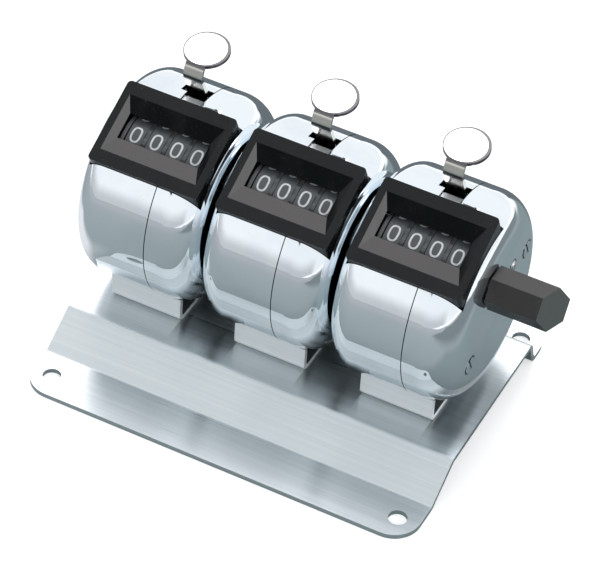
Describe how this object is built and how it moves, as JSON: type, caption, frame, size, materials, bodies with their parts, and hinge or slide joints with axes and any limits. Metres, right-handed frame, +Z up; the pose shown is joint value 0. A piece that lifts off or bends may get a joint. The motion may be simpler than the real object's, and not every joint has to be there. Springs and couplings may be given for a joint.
{
  "type": "triple tally counter",
  "caption": "Drum-shaped hand tally counters in a row on a folded sheet base, with a thumb lever each and one shared reset knob.",
  "frame": {"origin": "centre of the four base holes, on the underside of the base", "axes": "+X along the row to the reset knob, +Y to the rear, +Z up"},
  "size_m": [0.1081, 0.075, 0.0668],
  "materials": {
    "base_sheet": "stainless sheet, brushed along the row",
    "saddle_sheet": "stainless sheet, brushed along the row",
    "case_chrome": "bright nickel-chrome plate over drawn steel",
    "lever_chrome": "bright plated strip, bent",
    "screw_chrome": "plated, turned",
    "screw_steel": "turned steel",
    "inner_steel": "stamped steel sheet, dull",
    "brass_parts": "stamped, dull",
    "bezel_black": "black moulded plastic, satin",
    "wheel_black": "black moulded plastic with light figures printed in the looks",
    "knob_black": "black moulded plastic, satin"
  },
  "bodies": {
    "base": {"base_plate": "base_sheet", "saddle_screws": "screw_steel", "cover_screws": "screw_chrome", "cover_rivets": "screw_chrome", "spacer_washers": "screw_steel", "saddle_left": "saddle_sheet", "case_shell_left": "case_chrome", "side_cover_left": "case_chrome", "bezel_left": "bezel_black", "chassis_left": "inner_steel", "pinion_shaft_left": "inner_steel", "lever_pin_left": "inner_steel", "lever_spring_left": "inner_steel", "detent_comb_left": "brass_parts", "saddle_middle": "saddle_sheet", "case_shell_middle": "case_chrome", "side_cover_middle": "case_chrome", "bezel_middle": "bezel_black", "chassis_middle": "inner_steel", "pinion_shaft_middle": "inner_steel", "lever_pin_middle": "inner_steel", "lever_spring_middle": "inner_steel", "detent_comb_middle": "brass_parts", "saddle_right": "saddle_sheet", "case_shell_right": "case_chrome", "side_cover_right": "case_chrome", "bezel_right": "bezel_black", "chassis_right": "inner_steel", "pinion_shaft_right": "inner_steel", "lever_pin_right": "inner_steel", "lever_spring_right": "inner_steel", "detent_comb_right": "brass_parts"},
    "reset": {"reset_shaft": "screw_steel", "reset_knob": "knob_black", "knob_screw": "screw_steel"},
    "lever_left": {"thumb_lever_left": "lever_chrome", "drive_pawl_left": "brass_parts"},
    "thousands_left": {"thousands_wheel_left": "wheel_black"},
    "hundreds_left": {"hundreds_wheel_left": "wheel_black"},
    "tens_left": {"tens_wheel_left": "wheel_black"},
    "units_left": {"units_wheel_left": "wheel_black"},
    "pinions_left": {"carry_pinions_left": "brass_parts"},
    "lever_middle": {"thumb_lever_middle": "lever_chrome", "drive_pawl_middle": "brass_parts"},
    "thousands_middle": {"thousands_wheel_middle": "wheel_black"},
    "hundreds_middle": {"hundreds_wheel_middle": "wheel_black"},
    "tens_middle": {"tens_wheel_middle": "wheel_black"},
    "units_middle": {"units_wheel_middle": "wheel_black"},
    "pinions_middle": {"carry_pinions_middle": "brass_parts"},
    "lever_right": {"thumb_lever_right": "lever_chrome", "drive_pawl_right": "brass_parts"},
    "thousands_right": {"thousands_wheel_right": "wheel_black"},
    "hundreds_right": {"hundreds_wheel_right": "wheel_black"},
    "tens_right": {"tens_wheel_right": "wheel_black"},
    "units_right": {"units_wheel_right": "wheel_black"},
    "pinions_right": {"carry_pinions_right": "brass_parts"}
  },
  "joints": [
    {"name": "reset_turn", "type": "hinge", "parent": "base", "child": "reset", "pos_m": [0.046, 0.00189, 0.04225], "axis": [1, 0, 0], "continuous": true},
    {"name": "lever_press_left", "type": "hinge", "parent": "base", "child": "lever_left", "pos_m": [-0.0441, -0.01058, 0.03991], "axis": [-1, 0, 0], "range_deg": [0, 7], "stiffness_Nm_per_rad": 0.6, "springref_deg": -5.73},
    {"name": "thousands_turn_left", "type": "hinge", "parent": "base", "child": "thousands_left", "pos_m": [-0.03843, 0.00189, 0.04225], "axis": [1, 0, 0], "continuous": true},
    {"name": "hundreds_turn_left", "type": "hinge", "parent": "base", "child": "hundreds_left", "pos_m": [-0.03347, 0.00189, 0.04225], "axis": [1, 0, 0], "continuous": true},
    {"name": "tens_turn_left", "type": "hinge", "parent": "base", "child": "tens_left", "pos_m": [-0.02852, 0.00189, 0.04225], "axis": [1, 0, 0], "continuous": true},
    {"name": "units_turn_left", "type": "hinge", "parent": "base", "child": "units_left", "pos_m": [-0.02357, 0.00189, 0.04225], "axis": [1, 0, 0], "continuous": true},
    {"name": "pinions_turn_left", "type": "hinge", "parent": "base", "child": "pinions_left", "pos_m": [-0.031, 0.0109, 0.03495], "axis": [1, 0, 0], "continuous": true},
    {"name": "lever_press_middle", "type": "hinge", "parent": "base", "child": "lever_middle", "pos_m": [-0.0131, -0.01058, 0.03991], "axis": [-1, 0, 0], "range_deg": [0, 7], "stiffness_Nm_per_rad": 0.6, "springref_deg": -5.73},
    {"name": "thousands_turn_middle", "type": "hinge", "parent": "base", "child": "thousands_middle", "pos_m": [-0.00743, 0.00189, 0.04225], "axis": [1, 0, 0], "continuous": true},
    {"name": "hundreds_turn_middle", "type": "hinge", "parent": "base", "child": "hundreds_middle", "pos_m": [-0.00248, 0.00189, 0.04225], "axis": [1, 0, 0], "continuous": true},
    {"name": "tens_turn_middle", "type": "hinge", "parent": "base", "child": "tens_middle", "pos_m": [0.00248, 0.00189, 0.04225], "axis": [1, 0, 0], "continuous": true},
    {"name": "units_turn_middle", "type": "hinge", "parent": "base", "child": "units_middle", "pos_m": [0.00743, 0.00189, 0.04225], "axis": [1, 0, 0], "continuous": true},
    {"name": "pinions_turn_middle", "type": "hinge", "parent": "base", "child": "pinions_middle", "pos_m": [0, 0.0109, 0.03495], "axis": [1, 0, 0], "continuous": true},
    {"name": "lever_press_right", "type": "hinge", "parent": "base", "child": "lever_right", "pos_m": [0.0179, -0.01058, 0.03991], "axis": [-1, 0, 0], "range_deg": [0, 7], "stiffness_Nm_per_rad": 0.6, "springref_deg": -5.73},
    {"name": "thousands_turn_right", "type": "hinge", "parent": "base", "child": "thousands_right", "pos_m": [0.02357, 0.00189, 0.04225], "axis": [1, 0, 0], "continuous": true},
    {"name": "hundreds_turn_right", "type": "hinge", "parent": "base", "child": "hundreds_right", "pos_m": [0.02852, 0.00189, 0.04225], "axis": [1, 0, 0], "continuous": true},
    {"name": "tens_turn_right", "type": "hinge", "parent": "base", "child": "tens_right", "pos_m": [0.03347, 0.00189, 0.04225], "axis": [1, 0, 0], "continuous": true},
    {"name": "units_turn_right", "type": "hinge", "parent": "base", "child": "units_right", "pos_m": [0.03843, 0.00189, 0.04225], "axis": [1, 0, 0], "continuous": true},
    {"name": "pinions_turn_right", "type": "hinge", "parent": "base", "child": "pinions_right", "pos_m": [0.031, 0.0109, 0.03495], "axis": [1, 0, 0], "continuous": true}
  ],
  "couplings": [
    {"joint": "thousands_turn_left", "follows": "reset_turn", "ratio": 1},
    {"joint": "hundreds_turn_left", "follows": "reset_turn", "ratio": 1},
    {"joint": "tens_turn_left", "follows": "reset_turn", "ratio": 1},
    {"joint": "units_turn_left", "follows": "reset_turn", "ratio": 1},
    {"joint": "pinions_turn_left", "follows": "reset_turn", "ratio": -2.5},
    {"joint": "thousands_turn_middle", "follows": "reset_turn", "ratio": 1},
    {"joint": "hundreds_turn_middle", "follows": "reset_turn", "ratio": 1},
    {"joint": "tens_turn_middle", "follows": "reset_turn", "ratio": 1},
    {"joint": "units_turn_middle", "follows": "reset_turn", "ratio": 1},
    {"joint": "pinions_turn_middle", "follows": "reset_turn", "ratio": -2.5},
    {"joint": "thousands_turn_right", "follows": "reset_turn", "ratio": 1},
    {"joint": "hundreds_turn_right", "follows": "reset_turn", "ratio": 1},
    {"joint": "tens_turn_right", "follows": "reset_turn", "ratio": 1},
    {"joint": "units_turn_right", "follows": "reset_turn", "ratio": 1},
    {"joint": "pinions_turn_right", "follows": "reset_turn", "ratio": -2.5}
  ]
}
